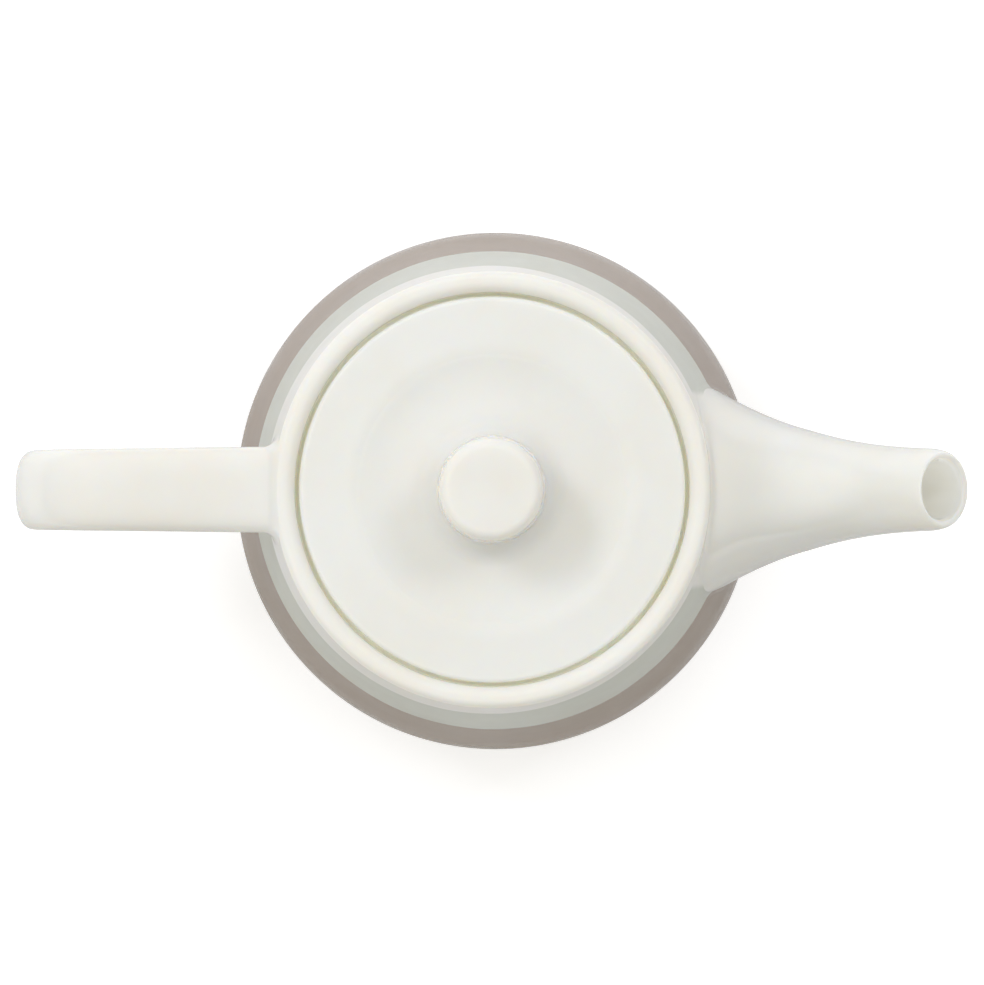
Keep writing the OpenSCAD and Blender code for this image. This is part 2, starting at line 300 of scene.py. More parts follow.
RIM_R = SEAT_R + RIM_W
RISE = RIM_Z - BELLY_Z
SLIM = BELLY_R - RIM_R
LEAN = math.degrees(
    math.asin(SIDE_ROUND / math.hypot(RISE, SIDE_ROUND - SLIM)) - math.atan2(SIDE_ROUND - SLIM, RISE)
)
COS_LEAN = math.cos(math.radians(LEAN))
TAN_LEAN = math.tan(math.radians(LEAN))
SIDE_C = np.array([BELLY_R - SIDE_ROUND, BELLY_Z])
BASE_C = np.array([BELLY_R - BASE_ROUND, BELLY_Z])
SLOPE_Z = BELLY_Z + SIDE_ROUND * math.sin(math.radians(LEAN))
SEAT_Z = RIM_Z - SEAT_DEPTH
LEDGE_R = SEAT_R - LEDGE_W
FLOOR_Z = FOOT_HOLLOW + FLOOR_T


def slope_r(z):
    """The outer radius on the straight slope below the rim."""
    return RIM_R + (RIM_Z - z) * TAN_LEAN


def side_r(z):
    """The body's outer radius at a height above its base."""
    z = np.asarray(z, float)
    upper = SIDE_C[0] + np.sqrt(SIDE_ROUND**2 - np.clip(z - BELLY_Z, 0, RISE) ** 2)
    lower = BASE_C[0] + np.sqrt(np.maximum(BASE_ROUND**2 - (BELLY_Z - z) ** 2, 0))
    return np.where(z >= SLOPE_Z, slope_r(z), np.where(z >= BELLY_Z, upper, lower))


def off_body(p):
    """Distance of points from the body's outer surface, below zero inside it."""
    r = np.hypot(p[..., 0], p[..., 1])
    above = (r - side_r(np.minimum(p[..., 2], RIM_Z))) * COS_LEAN
    below = np.hypot(r - BASE_C[0], p[..., 2] - BELLY_Z) - BASE_ROUND
    return np.where(p[..., 2] > BELLY_Z, above, below)


def outside_profile(fine=1):
    """Radius and height from the middle of the base, over the foot ring, and then up to the rim's top."""
    foot_turn = math.degrees(math.acos((FOOT_R - BASE_C[0]) / BASE_ROUND))
    corner_z = RIM_Z - RIM_OUTER_EDGE
    rim_corner = (slope_r(corner_z) - RIM_OUTER_EDGE / COS_LEAN, corner_z)
    base = [(0, FOOT_HOLLOW), (FOOT_R - FOOT_W - FOOT_HOLLOW, FOOT_HOLLOW)]
    base += arc((FOOT_R - FOOT_W + FOOT_EDGE, FOOT_EDGE), FOOT_EDGE, 180, 270, EDGE_STEPS)
    base += arc((FOOT_R - FOOT_EDGE, FOOT_EDGE), FOOT_EDGE, -90, 0, EDGE_STEPS)
    side = arc(BASE_C, BASE_ROUND, -foot_turn, 0, BASE_STEPS * fine)
    side += arc(SIDE_C, SIDE_ROUND, LEAN / SIDE_STEPS, LEAN, (SIDE_STEPS - 1) * fine)
    side += arc(rim_corner, RIM_OUTER_EDGE, LEAN, 90, RIM_OUTER_STEPS * fine)
    return base, side


def inside_profile():
    """Radius and height from the rim's top, over the ledge, down to the middle of the floor."""
    under_z = SEAT_Z - LEDGE_T
    under_w = (slope_r(under_z) - WALL / COS_LEAN - LEDGE_R) / (1 - UNDER_SLOPE * TAN_LEAN)
    floor_turn = math.degrees(math.asin((BELLY_Z - FLOOR_Z) / (BASE_ROUND - WALL)))
    rim_in = RIM_INNER_EDGE
    points = arc((SEAT_R + rim_in, RIM_Z - rim_in), rim_in, 90, 180, RIM_INNER_STEPS)
    points += arc((SEAT_R - SEAT_EDGE, SEAT_Z + SEAT_EDGE), SEAT_EDGE, 0, -90, EDGE_STEPS)
    points += arc((LEDGE_R + SEAT_EDGE, SEAT_Z - SEAT_EDGE), SEAT_EDGE, 90, 180, EDGE_STEPS)
    points += [(LEDGE_R, under_z), (LEDGE_R + under_w, under_z - UNDER_SLOPE * under_w)]
    points += arc(SIDE_C, SIDE_ROUND - WALL, LEAN, LEAN / INNER_SIDE_STEPS, INNER_SIDE_STEPS - 1)
    points += arc(BASE_C, BASE_ROUND - WALL, 0, -floor_turn, INNER_BASE_STEPS)
    return points + [(0, FLOOR_Z)]


def with_supports(points, longest=3.0, hold=0.35, straight=4.0):
    """Adds points to long straight stretches, to hold the shading: close to the ends and in between."""
    held = [np.asarray(points[0], float)]
    for a, b in zip(points[:-1], points[1:]):
        a, b = np.asarray(a, float), np.asarray(b, float)
        length = np.linalg.norm(b - a)
        if length > straight:
            inner = np.linspace(hold, length - hold, 2 + int(length / longest))
            held += [lerp(a, b, d / length) for d in inner]
        held.append(b)
    return np.array(held)


# The outer surface by angle and by distance along its outline

FINE_SIDE = np.array(outside_profile(fine=40)[1])
SIDE_S = np.concatenate([[0], np.cumsum(np.linalg.norm(np.diff(FINE_SIDE, axis=0), axis=1))])
RIM_S = np.interp(RIM_Z - RIM_MARGIN, FINE_SIDE[:, 1], SIDE_S)


def on_side(angle, s):
    """A point of the body's outer surface and the outward normal there."""
    step = 0.02
    r, z = (np.interp(s, SIDE_S, FINE_SIDE[:, k]) for k in (0, 1))
    r_on, z_on = (np.interp(s + step, SIDE_S, FINE_SIDE[:, k]) for k in (0, 1))
    r_back, z_back = (np.interp(s - step, SIDE_S, FINE_SIDE[:, k]) for k in (0, 1))
    normal = unit(np.array([z_on - z_back, r_back - r_on]))
    point = np.array([r * math.cos(angle), r * math.sin(angle), z])
    return point, np.array([normal[0] * math.cos(angle), normal[0] * math.sin(angle), normal[1]])


# Meshes


def turned(profile, steps):
    """Points and faces of a solid of revolution, from an outline that starts and ends on the axis."""
    angles = np.arange(steps) * 2 * math.pi / steps
    inner = profile[1:-1]
    rings = [[(r * math.cos(a), r * math.sin(a), z) for a in angles] for r, z in inner]
    ends = [(0, 0, profile[0][1]), (0, 0, profile[-1][1])]
    points = np.array([p for ring in rings for p in ring] + ends)
    first, last = len(points) - 2, len(points) - 1
    faces = []
    for i in range(steps):
        k = (i + 1) % steps
        faces.append((first, k, i))
        for j in range(len(inner) - 1):
            faces.append((j * steps + i, j * steps + k, (j + 1) * steps + k, (j + 1) * steps + i))
        end = (len(inner) - 1) * steps
        faces.append((last, end + i, end + k))
    return points, faces


def lofted(rings, closed):
    """Points and faces over rings of points.

    A closed loft joins its last ring to its first, and an open one has its ends capped.
    """
    rings = np.asarray(rings)
    m, n = rings.shape[:2]
    points = rings.reshape(-1, 3)
    faces = []
    for j in range(m if closed else m - 1):
        nxt = (j + 1) % m
        faces += [(j * n + i, nxt * n + i, nxt * n + (i + 1) % n, j * n + (i + 1) % n) for i in range(n)]
    if not closed:
        points = np.concatenate([points, [rings[0].mean(0), rings[-1].mean(0)]])
        faces += [(m * n, i, (i + 1) % n) for i in range(n)]
        faces += [(m * n + 1, (m - 1) * n + (i + 1) % n, (m - 1) * n + i) for i in range(n)]
    return points, faces


def placed(name, data):
    """A new object in the scene."""
    made = bpy.data.objects.new(name, data)
    bpy.context.scene.collection.objects.link(made)
    return made


def solid(name, points, faces, materials, index=None):
    """A mesh object with its normals outwards. index gives each face's material slot."""
    mesh = bpy.data.meshes.new(name)
    mesh.from_pydata((np.asarray(points) * MM).tolist(), [], faces)
    for m in materials:
        mesh.materials.append(m)
    if index is not None:
        mesh.polygons.foreach_set("material_index", np.asarray(index, np.int32))
    work = bmesh.new()
    work.from_mesh(mesh)
    if work.calc_volume(signed=True) < 0:
        bmesh.ops.reverse_faces(work, faces=work.faces)
    work.to_mesh(mesh)
    work.free()
    mesh.validate()
    return placed(name, mesh)


def combine(base, tool, operation):
    """Unites tool with base, or cuts it from base, and removes it."""
    change = base.modifiers.new(operation.title(), "BOOLEAN")
    change.operation = operation
    change.solver = "MANIFOLD"
    change.object = tool
    bpy.context.view_layer.update()
    evaluated = base.evaluated_get(bpy.context.evaluated_depsgraph_get())
    mesh = bpy.data.meshes.new_from_object(evaluated)
    base.modifiers.clear()
    old, base.data = base.data, mesh
    bpy.data.meshes.remove(old)
    bpy.data.objects.remove(tool)


def smooth(piece, sharp_over=50):
    """Rounds the shading over all but the sharp edges."""
    piece.data.shade_smooth()
    piece.data.set_sharp_from_angle(angle=math.radians(sharp_over))


def drop_slivers(piece, smallest=0.004):
    """Removes the hairline faces that joining two surfaces leaves."""
    work = bmesh.new()
    work.from_mesh(piece.data)
    bmesh.ops.remove_doubles(work, verts=work.verts, dist=smallest * MM)
    bmesh.ops.dissolve_degenerate(work, edges=work.edges, dist=smallest * MM)
    work.to_mesh(piece.data)
    work.free()


# Joints of swept shapes with the body


def line_at(lines, at):
    """Points of sampled lines at one fractional sample number for each line."""
    k = np.clip(np.floor(at).astype(int), 0, lines.shape[1] - 2)
    i = np.arange(len(lines))
    return lerp(lines[i, k], lines[i, k + 1], (at - k)[:, None])


def leaving(lines):
    """The fractional sample number at which each line leaves the body."""
    gap = off_body(lines)
    k = np.array([np.flatnonzero(row <= 0).max() for row in gap])
    i = np.arange(len(lines))
    return k + gap[i, k] / (gap[i, k] - gap[i, k + 1])


def along(lines, start, length):
    """The fractional sample number that lies this far outwards along each line."""
    found = []
    for line, at, far in zip(lines, start, length):
        k = int(at) + 1
        run = np.concatenate([[lerp(line[k - 1], line[k], at - k + 1)], line[k:]])
        s = np.concatenate([[0], np.cumsum(np.linalg.norm(np.diff(run, axis=0), axis=1))])
        n = np.interp(far, s, np.arange(len(s)))
        found.append(at + n * (k - at) if n < 1 else k + n - 1)
    return np.array(found)


def joint_foot(hit, normal, size):
    """Where a round meets the body beside a point at which a swept shape leaves it.

    Returns the foot, the body's normal there, the way from the point to the foot along the
    surface, and the round's size, which gets less where the rim leaves no room for it.
    """
    least_rise = 0.02
    angle = math.atan2(hit[1], hit[0])
    s = np.interp(hit[2], FINE_SIDE[:, 1], SIDE_S)
    _, up = on_side(angle, s)
    round_way = np.array([-math.sin(angle), math.cos(angle), 0])
    up_way = np.cross(up, round_way)
    up_way *= np.sign(up_way[2])
    out = unit(normal - up * (normal @ up))
    rise = out @ up_way
    room = (RIM_S - s) / max(rise, least_rise)
    reach = size if rise <= 0 else (size**-4 + room**-4) ** -0.25
    radius = math.hypot(hit[0], hit[1])
    foot, foot_up = on_side(angle + reach * (out @ round_way) / radius, s + reach * rise)
    way = foot - hit
    return foot, foot_up, unit(way - foot_up * (way @ foot_up)), reach


def joint_rows(lines, size):
    """Rows of points that round the way from the body into a swept shape.

    The lines run outwards from inside the body. The rows start inside the wall, come up through
    the body's surface, and turn from it into the lines. Returns them with the fractional sample
    number at which each line goes on.
    """
    start = leaving(lines)
    hits = line_at(lines, start)
    middle = hits.mean(0)
    run = unit(line_at(lines, start + 1) - hits)
    across = np.roll(hits, -1, 0) - np.roll(hits, 1, 0)
    normals = unit(np.cross(across, run))
    normals *= np.sign(np.sum(normals * (hits - middle), axis=1, keepdims=True).sum())
    feet = [joint_foot(hit, normal, size) for hit, normal in zip(hits, normals)]
    foot, foot_up, way, sizes = (np.array(part) for part in zip(*feet))
    go_on = along(lines, start, sizes)
    tops = line_at(lines, go_on)
    top_way = unit(line_at(lines, go_on + 0.5) - line_at(lines, go_on - 0.5))
    pull = JOINT_PULL * sizes[:, None]
    curve = [foot, foot - pull * way, tops - pull * top_way, tops]
    rows = [foot + past * way - below * foot_up for past, below in JOINT_SUNK]
    rows += [bezier(curve, t) for t in np.linspace(0, 1, JOINT_ROWS, endpoint=False)]
    return rows, go_on


# Spout

ALONG_MOUTH = heading(MOUTH_TILT)
UP_MOUTH = heading(MOUTH_TILT + 90)
MOUTH_TOP = MOUTH + MOUTH_R * UP_MOUTH
MOUTH_LOW = MOUTH - MOUTH_R * UP_MOUTH
SPOUT_IN = np.array([SEAT_R - TOP_IN, RIM_Z - SPOUT_DROP])
LOW_IN = np.array([side_r(SPOUT_LOW_Z) - ROOT_IN, SPOUT_LOW_Z - ROOT_IN / 2])
DIP = np.array([(SPOUT_IN[0] + MOUTH_TOP[0]) / 2, SPOUT_IN[1] - SPOUT_DIP])
THROAT_W = lerp(MOUTH_R, ROOT_HALF_W, THROAT_SHARE)


def top_line(t):
    """The spout's upper line, level at the dip. t runs from 0 inside the body to 1 at the mouth."""
    level = np.array([DIP_PULL, 0])
    first = bezier([SPOUT_IN, SPOUT_IN + level, DIP - level, DIP], np.minimum(t / DIP_AT, 1))
    rest = np.maximum(t - DIP_AT, 0) / (1 - DIP_AT)
    second = bezier([DIP, DIP + level, MOUTH_TOP - MOUTH_PULL * ALONG_MOUTH, MOUTH_TOP], rest)
    return np.where(np.reshape(t < DIP_AT, np.shape(t) + (1,)), first, second)


def low_line(t):
    """The spout's lower line, by the same t."""
    rise = LOW_PULL * heading(LOW_ANGLE)
    return bezier([LOW_IN, LOW_IN + rise, MOUTH_LOW - LOW_PULL * ALONG_MOUTH, MOUTH_LOW], t)


def spout_half_w(t):
    """Half the spout's width, by the same t."""
    return bezier([ROOT_HALF_W + ROOT_EXTRA_W, THROAT_W, MOUTH_R * MOUTH_SWELL, MOUTH_R], t)


def oval(centre, up, half_h, half_w, power, steps):
    """Rings of points on rounded ovals, half_h along up and half_w along Y, squarer as power grows.

    Each argument but steps holds one value for each ring.
    """
    a = np.linspace(0, 2 * math.pi, steps, endpoint=False)
    half_h, half_w, power = (np.reshape(v, (-1, 1)) for v in (half_h, half_w, power))
    q = (np.abs(np.cos(a)) ** power + np.abs(np.sin(a)) ** power) ** (-1 / power)
    h, w = half_h * q * np.sin(a), half_w * q * np.cos(a)
    flat = centre[:, None, :] + up[:, None, :] * h[..., None]
    return np.stack([flat[..., 0], w, flat[..., 1]], axis=-1)


def spout_rings(t, inset=0.0, lift=0.0):
    """Rings of the spout, drawn in by inset and raised by lift."""
    t, inset, lift = (np.broadcast_to(np.asarray(v, float), np.shape(t)) for v in (t, inset, lift))
    a, b = top_line(t), low_line(t)
    half_h = np.linalg.norm(a - b, axis=1) / 2
    up = (a - b) / (2 * half_h[:, None])
    power = lerp(ROOT_POWER, 2, np.minimum(1, ROUND_FROM * t))
    centre = (a + b) / 2 + lift[:, None] * up
    return oval(centre, up, half_h - inset, spout_half_w(t) - inset, power, SPOUT_STEPS)


def mouth_rings(forward, inset, lift):
    """Rings square across the mouth, this far forward of it."""
    centre = MOUTH + forward[:, None] * ALONG_MOUTH + lift[:, None] * UP_MOUTH
    up = np.broadcast_to(UP_MOUTH, centre.shape)
    return oval(centre, up, MOUTH_R - inset, MOUTH_R - inset, np.full(len(forward), 2.0), SPOUT_STEPS)


def mouth_speed():
    """How many millimetres the spout's middle line covers for one of t at the mouth."""
    near = 0.98
    way = top_line(1.0) + low_line(1.0) - top_line(near) - low_line(near)
    return np.linalg.norm(way / 2) / (1 - near)


def spout_outside(t_end):
    """The joint's rows, and the rows from there along the outside to t_end."""
    lines = spout_rings(np.linspace(0, t_end, LINE_SAMPLES)).transpose(1, 0, 2)
    joint, go_on = joint_rows(lines, SPOUT_JOINT)
    last = float(LINE_SAMPLES - 1)
    shares = np.linspace(0, 1, SPOUT_ROWS, endpoint=False)
    return joint, [line_at(lines, lerp(go_on, last, share)) for share in shares]


def spout_lip(speed):
    """Rows over the lip: out to its crest, and from there back to the bore."""
    crest = SPOUT_T / 2
    turn = np.radians(np.linspace(0, 90, LIP_OUT_ROWS))
    forward = lerp(-LIP_ROUND, crest, np.sin(turn))
    inset = crest * (1 - np.cos(turn))
    lift = LIP_EXTRA * (1 - np.cos(turn)) / 2
    before = forward < 0
    out = list(spout_rings(1 + forward[before] / speed, inset[before], lift[before]))
    out += list(mouth_rings(forward[~before], inset[~before], lift[~before]))
    turn = np.radians(np.linspace(90, 180, LIP_IN_ROWS)[1:])
    inset = crest * (1 - np.cos(turn))
    lift = LIP_EXTRA * (1 - np.cos(turn)) / 2
    return out, list(mouth_rings(crest * np.sin(turn), inset, lift))


def spout_bore():
    """Rows down the bore to just inside the body's outer surface."""
    t = np.linspace(0, 1, LINE_SAMPLES)
    bores = spout_rings(t, SPOUT_T * lerp(ROOT_WALL, 1, t), LIP_EXTRA * t).transpose(1, 0, 2)
    gap = off_body(bores) + BORE_SUNK
    ends = np.array([np.flatnonzero(row <= 0).max() for row in gap], float)
    last = float(LINE_SAMPLES - 1)
    return [line_at(bores, lerp(last, ends, share)) for share in np.linspace(0, 1, BORE_ROWS)[1:]]


def spout():
    """A closed skin: up the outside, over the lip and down the bore, with both ends in the body's wall."""
    speed = mouth_speed()
    joint, outside = spout_outside(1 - LIP_ROUND / speed)
    lip_out, lip_in = spout_lip(speed)
    skin = joint + outside + lip_out + lip_in + spout_bore()
    points, faces = lofted(skin, closed=True)
    glazed = len(outside + lip_out) + LIP_GLAZED
    # Past those rows, the lip and the bore get a brighter, warmer white: painted bounce light
    lit_rows = len(skin) - len(joint) - glazed
    finishes = [BANDS] * len(joint) + [GLAZE] * glazed + [LIT_BORE] * lit_rows
    return points, faces, np.repeat(finishes, SPOUT_STEPS)


# Handle


def handle_path():
    """The handle's middle line: its points, its headings, and how far along each point is, from 0 to 1."""
    x = HANDLE_REACH - HANDLE_T / 2
    top_z = RIM_Z - HANDLE_DROP - HANDLE_T / 2
    bend_c = np.array([-x + HANDLE_BEND, top_z - HANDLE_BEND])
    sweep_c = np.array([-x + HANDLE_SWEEP, HANDLE_DROP_Z])
    tail_turn = 90 - HANDLE_TAIL
    tail_from = sweep_c + HANDLE_SWEEP * heading(180 + tail_turn)
    tail_len = (-tail_from[0] - BELLY_R + WALL + HANDLE_T / 2) / math.cos(math.radians(HANDLE_TAIL))
    points = [np.array([HANDLE_IN - SEAT_R, top_z])]
    headings = [180.0]
    ends = [0]

    def straight(end, angle):
        start = points[-1]
        length = np.linalg.norm(end - start)
        for d in np.arange(PATH_STEP, length + PATH_STEP / 2, PATH_STEP):
            points.append(lerp(start, end, min(d / length, 1)))
            headings.append(angle)
        ends.append(len(points) - 1)

    def bend(centre, radius, start, turn):
        for a in np.linspace(0, turn, int(radius * math.radians(turn) / PATH_STEP))[1:]:
            points.append(centre + radius * heading(start + a))
            headings.append(start + 90 + a)
        ends.append(len(points) - 1)

    straight(np.array([HANDLE_RIM_IN - RIM_R, top_z]), 180)
    straight(bend_c + [0, HANDLE_BEND], 180)
    bend(bend_c, HANDLE_BEND, 90, 90)
    straight(sweep_c - [HANDLE_SWEEP, 0], 270)
    bend(sweep_c, HANDLE_SWEEP, 180, tail_turn)
    straight(tail_from + tail_len * heading(-HANDLE_TAIL), 360 - HANDLE_TAIL)
    share = np.interp(np.arange(len(points)), ends, HANDLE_SHARES)
    return np.array(points), np.array(headings), share


def handle():
    """A strap with capped ends inside the body's wall, squarer at its top than at its tail."""
    points, headings, share = handle_path()
    width = np.interp(share, [0, 0.5, 1], [HANDLE_TOP_W, HANDLE_MID_W, HANDLE_LOW_W])
    power = lerp(FLAT_POWER, ROUND_POWER, np.minimum(1, 2 * share))
    half_t = np.full(len(points), HANDLE_T / 2)
    rings = oval(points, heading(headings - 90), half_t, width / 2, power, HANDLE_STEPS)
    lines = rings.transpose(1, 0, 2)
    half = lines.shape[1] // 2
    last = lines.shape[1] - 1.0
    top, top_on = joint_rows(lines[:, :half], HANDLE_JOINT)
    low, low_on = joint_rows(lines[:, :half:-1], HANDLE_JOINT)
    shares = np.linspace(0, 1, HANDLE_ROWS)
    free = [line_at(lines, lerp(top_on, last - low_on, share)) for share in shares]
    points, faces = lofted(top + free + low[::-1], closed=False)
    caps = [BANDS, BANDS]
    finishes = [BANDS] * len(top) + [GLAZE] * (len(free) - 1) + [BANDS] * len(low) + caps
    return points, faces, np.repeat(finishes, HANDLE_STEPS)


# Strainer


def strainer_tools():
    """The drills for the strainer's holes, which stand in rings of six round a middle one."""
    drill_in = 3 * WALL
    drill_length = 4 * WALL
    points, faces = [], []
    circle = heading(np.linspace(0, 360, HOLE_STEPS, endpoint=False)) * HOLE_D / 2
    for i in range(-HOLE_RINGS, HOLE_RINGS + 1):
        for j in range(-HOLE_RINGS, HOLE_RINGS + 1):
            if abs(i + j) > HOLE_RINGS:
                continue
            up = STRAINER_Z + HOLE_PITCH * (i + j / 2)
            across = HOLE_PITCH * j * math.sqrt(3) / 2
            x = float(side_r(up)) - drill_in
            rings = [[(x + d, across + c[0], up + c[1]) for c in circle] for d in (0, drill_length)]
            p, f = lofted(rings, closed=False)
            faces += [tuple(v + len(points) for v in face) for face in f]
            points += p.tolist()
    return points, faces


# Pot


def body_finishes(points, faces, rim_row):
    """The finish of each face of the turned body, whose outside ends at rim_row."""
    index = []
    for face in faces:
        z = points[list(face), 2]
        outside = max(face) < rim_row * TURN_STEPS
        if outside and z.max() < BARE_Z:
            index.append(BARE)
        elif outside and z.min() > FOOT_EDGE / 2:
            index.append(BANDS)
        # The seat's faces round the lid get the gap's painted bounce light
        elif not outside and SEAT_Z - LEDGE_T < z.mean() < RIM_Z - GAP_UNDER_RIM:
            index.append(LIT_GAP)
        else:
            index.append(GLAZE)
    return index


def pot(materials):
    """The body with its strainer, spout and handle, as one mesh."""
    base, side = outside_profile()
    outside = with_supports(base + side)
    inside = with_supports(inside_profile())
    points, faces = turned(np.concatenate([outside, inside]), TURN_STEPS)
    index = body_finishes(points, faces, len(outside) - 1)
    made = solid("pot_porcelain", points, faces, materials, index)
    combine(made, solid("drills", *strainer_tools(), materials), "DIFFERENCE")
    for name, shape in (("spout", spout), ("handle", handle)):
        points, faces, index = shape()
        combine(made, solid(name, points, faces, materials, index), "UNION")
    drop_slivers(made)
    smooth(made)
    return made


# Lid

LID_R = SEAT_R - LID_GAP
LID_TOP_Z = SEAT_Z + LID_T
SKIRT_R = LEDGE_R - SKIRT_GAP


def lid_outline():
    """Radius and height from the top of the knob's hollow, under and round the lid, to the knob's top."""
    skirt_in_r = SKIRT_R - SKIRT_T
    skirt_z = SEAT_Z - LEDGE_T - SKIRT_DEPTH
    slope = math.radians(DISH_SLOPE)
    dish_low_r = DISH_R - (DISH_EDGE + DISH_ROUND) * math.sin(slope)
    dish_z = LID_TOP_Z - (DISH_EDGE + DISH_ROUND) * (1 - math.cos(slope))
    dish_under_z = dish_z - DISH_T
    knob_z = LID_TOP_Z + KNOB_H
    knob_foot_z = dish_z + KNOB_FOOT
    knob_foot_r = KNOB_R + (knob_z - knob_foot_z) * math.tan(math.radians(KNOB_LEAN)) + KNOB_FOOT
    hollow_r = KNOB_R - KNOB_WALL
    hollow_z = knob_z - KNOB_WALL

    outline = [(0, hollow_z)]
    outline += arc((hollow_r - HOLLOW_EDGE, hollow_z - HOLLOW_EDGE), HOLLOW_EDGE, 90, 0, EDGE_STEPS)
    outline += arc((hollow_r + KNOB_FOOT, dish_under_z + KNOB_FOOT), KNOB_FOOT, 180, 270, ROUND_STEPS)
    outline += [(dish_low_r, dish_under_z)]
    outline += arc((skirt_in_r - UNDER_EDGE, SEAT_Z - UNDER_EDGE), UNDER_EDGE, 90, 0, EDGE_STEPS)
    outline += [(skirt_in_r, skirt_z)]
    outline += arc((SKIRT_R - SKIRT_EDGE, skirt_z + SKIRT_EDGE), SKIRT_EDGE, -90, 0, EDGE_STEPS)
    outline += arc((SKIRT_R + SKIRT_CORNER, SEAT_Z - SKIRT_CORNER), SKIRT_CORNER, 180, 90, CORNER_STEPS)
    outline += arc((LID_R - LID_EDGE_LOW, SEAT_Z + LID_EDGE_LOW), LID_EDGE_LOW, -90, 0, EDGE_STEPS)
    outline += arc((LID_R - LID_EDGE_TOP, LID_TOP_Z - LID_EDGE_TOP), LID_EDGE_TOP, 0, 90, ROUND_STEPS)
    outline += arc((DISH_R, LID_TOP_Z - DISH_EDGE), DISH_EDGE, 90, 90 + DISH_SLOPE, DISH_EDGE_STEPS)
    outline += arc((dish_low_r, dish_z + DISH_ROUND), DISH_ROUND, DISH_SLOPE - 90, -90, ROUND_STEPS)
    outline += arc((knob_foot_r, knob_foot_z), KNOB_FOOT, 270, 180 - KNOB_LEAN, KNOB_FOOT_STEPS)
    outline += arc((KNOB_R - KNOB_EDGE, knob_z - KNOB_EDGE), KNOB_EDGE, -KNOB_LEAN, 90, KNOB_EDGE_STEPS)
    return outline + [(0, knob_z)]


def in_lid_gap(corners):
    """Whether a face with these corners is on the ring's edge, which faces the gap."""
    x, y, z = corners.mean(0)
    return math.hypot(x, y) > SKIRT_R + GAP_OFF_SKIRT and z < LID_TOP_Z - GAP_UNDER_LID


def lid(materials):
    """The lid as one mesh. Its materials are the glaze and the gap's painted bounce light."""
    points, faces = turned(with_supports(lid_outline()), TURN_STEPS)
    index = [int(in_lid_gap(points[list(face)])) for face in faces]
    made = solid("lid_porcelain", points, faces, materials, index)
    smooth(made)
    return made


# Materials


class Nodes:
    """A node tree with short ways to add and link nodes. A source is a socket or a plain value."""

    def __init__(self, owner):
        owner.use_nodes = True
        self.owner = owner
        self.tree = owner.node_tree

    def link(self, socket, source):
        if isinstance(source, bpy.types.NodeSocket):
            self.tree.links.new(source, socket)
        else:
            socket.default_value = source

    def add(self, kind, links=None, **values):
        node = self.tree.nodes.new(kind)
        for key, value in values.items():
            setattr(node, key, value)
        for socket, source in (links or {}).items():
            self.link(node.inputs[socket], source)
        return node

    def maths(self, operation, *values):
        return self.add("ShaderNodeMath", dict(enumerate(values)), operation=operation).outputs[0]

    def vector_value(self, operation, a, b):
        """The number that a dot product or a distance gives."""
        return self.add("ShaderNodeVectorMath", {0: a, 1: b}, operation=operation).outputs["Value"]

    def mix(self, share, a, b):
        """A mix of two colours, whose sockets on the node are numbers 6 and 7, and 2 for the result."""
        return self.add("ShaderNodeMix", {0: share, 6: a, 7: b}, data_type="RGBA").outputs[2]


class Shader(Nodes):
    """A material's node tree, with patterns that keep their place on the object."""

    def __init__(self, name):
        super().__init__(bpy.data.materials.new(name))
        self.principled = self.tree.nodes["Principled BSDF"]
        self.place = self.add("ShaderNodeTexCoord").outputs["Object"]

    def noise(self, scale, detail):
        links = {"Vector": self.place, "Scale": scale, "Detail": detail}
        return self.add("ShaderNodeTexNoise", links).outputs["Fac"]

    def spread(self, value, low, high, to_low, to_high, kind="SMOOTHSTEP"):
        """Spreads the range from low to high over the one from to_low to to_high."""
        links = {"Value": value, "From Min": low, "From Max": high, "To Min": to_low, "To Max": to_high}
        return self.add("ShaderNodeMapRange", links, interpolation_type=kind).outputs["Result"]

    def patches(self, noise, to_low=0, to_high=1, reach=0.15):
        """Soft patches between two values, from noise up to this far from its middle."""
        return self.spread(self.noise(*noise), 0.5 - reach, 0.5 + reach, to_low, to_high)

    def over(self, value, edge, soft):
        """0 below an edge and 1 above it. The edge and half its softness are in millimetres."""
        return self.spread(value, (edge - soft) * MM, (edge + soft) * MM, 0, 1)

    def bumps(self, *layers):
        """The normal over layers of bumps, each with its noise, height and strength."""
        normal = None
        for noise, (distance, strength) in layers:
            links = {"Height": self.noise(*noise), "Distance": distance, "Strength": strength}
            if normal is not None:
                links["Normal"] = normal
            normal = self.add("ShaderNodeBump", links).outputs["Normal"]
        return normal

    def finish(self, links):
        for socket, source in links.items():
            self.link(self.principled.inputs[socket], source)
        return self.owner


def glaze_finish(shader, colour, depth=GLAZE_DEPTH):
    """The clear glaze over any colour: glossy, hardly uneven, with a faint orange peel."""
    return shader.finish(
        {
            "Base Color": colour,
            "Roughness": shader.patches(SHEEN, *GLAZE_ROUGHNESS),
            "IOR": GLAZE_IOR,
            "Normal": shader.bumps((SWELL, SWELL_BUMP), (PEEL, PEEL_BUMP)),
            "Subsurface Weight": 1.0,
            "Subsurface Radius": SCATTER,
            "Subsurface Scale": depth,
        }
    )


def white_glaze(name="white_glaze", depth=GLAZE_DEPTH, colours=WHITES):
    shader = Shader(name)
    return glaze_finish(shader, shader.mix(shader.patches(CLOUD), *colours), depth)


